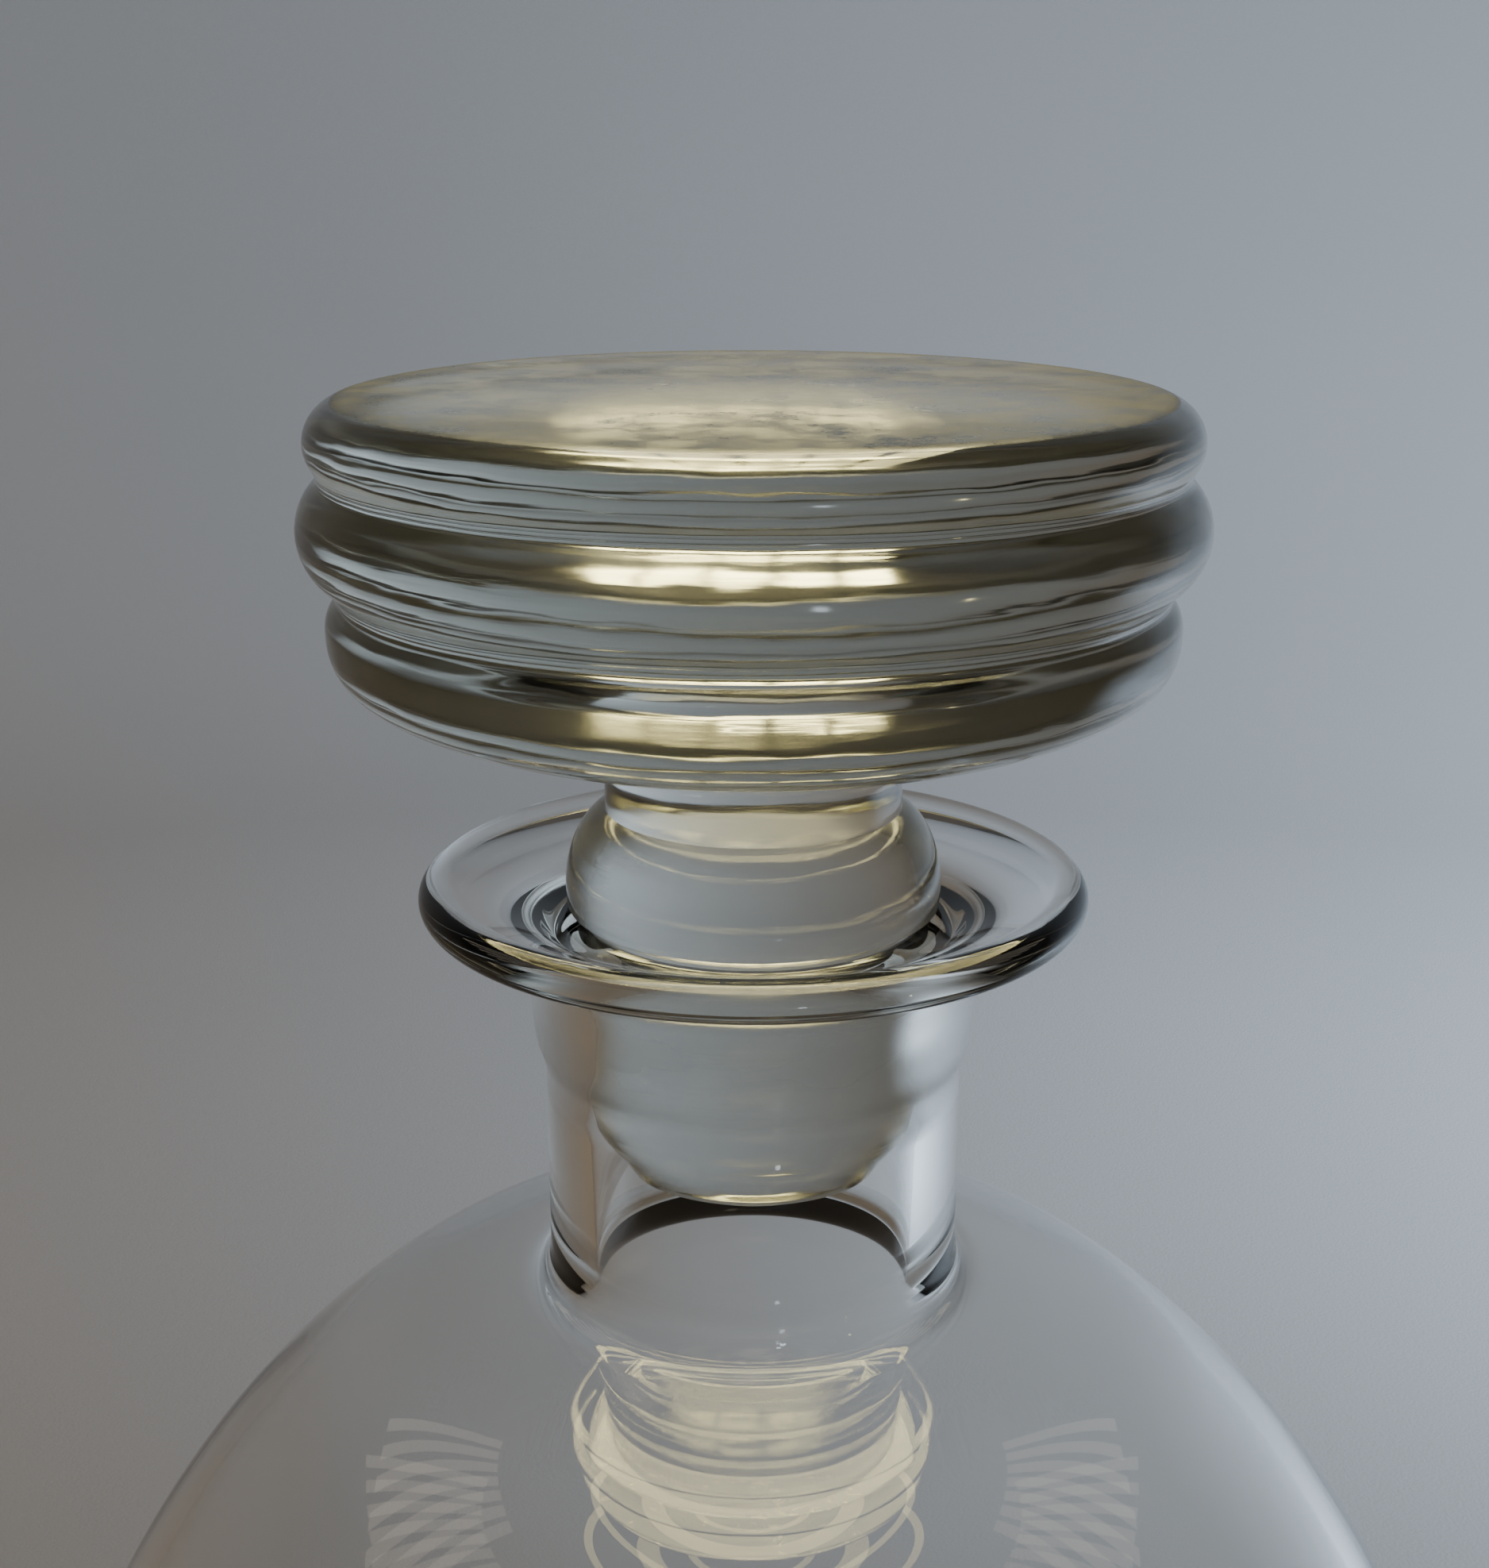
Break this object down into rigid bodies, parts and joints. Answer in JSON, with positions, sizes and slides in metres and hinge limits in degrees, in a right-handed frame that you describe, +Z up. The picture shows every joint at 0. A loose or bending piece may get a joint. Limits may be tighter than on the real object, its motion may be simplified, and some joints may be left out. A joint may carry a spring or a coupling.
{
  "type": "separatory funnel",
  "caption": "Pear-shaped glass separating vessel with a flanged neck, a beaded ground stopper, a tapered stopcock with a bar handle, and a straight drip stem.",
  "frame": {"origin": "centre of the circle, about 100 mm across, where the lower side of the bulb sits in a support ring", "axes": "+Z up along the vessel's axis, towards the stopper; +X along the stopcock, towards its handle"},
  "size_m": [0.126, 0.126, 0.3718],
  "materials": {
    "clear_glass": "polished",
    "stopper_glass": "polished, with a ground plug",
    "white_ptfe": "satin",
    "washer_ptfe": "satin",
    "black_rubber": "matte",
    "nut_plastic": "satin gloss"
  },
  "bodies": {
    "funnel": {"flanged_neck": "clear_glass", "bulb_shoulder": "clear_glass", "bulb_taper": "clear_glass", "stopcock_barrel": "clear_glass", "drip_stem": "clear_glass"},
    "stopper": {"ground_stopper": "stopper_glass"},
    "key": {"stopcock_key": "white_ptfe", "key_washer": "washer_ptfe", "key_o_ring": "black_rubber"},
    "nut": {"retaining_nut": "nut_plastic"}
  },
  "joints": [
    {"name": "stopper_lift", "type": "slide", "parent": "funnel", "child": "stopper", "axis": [0, 0, 1], "range_m": [0, 0.045]},
    {"name": "key_turn", "type": "hinge", "parent": "funnel", "child": "key", "pos_m": [0, 0, -0.0943], "axis": [1, 0, 0], "continuous": true},
    {"name": "nut_turn", "type": "hinge", "parent": "key", "child": "nut", "pos_m": [0, 0, -0.0943], "axis": [1, 0, 0], "continuous": true}
  ]
}
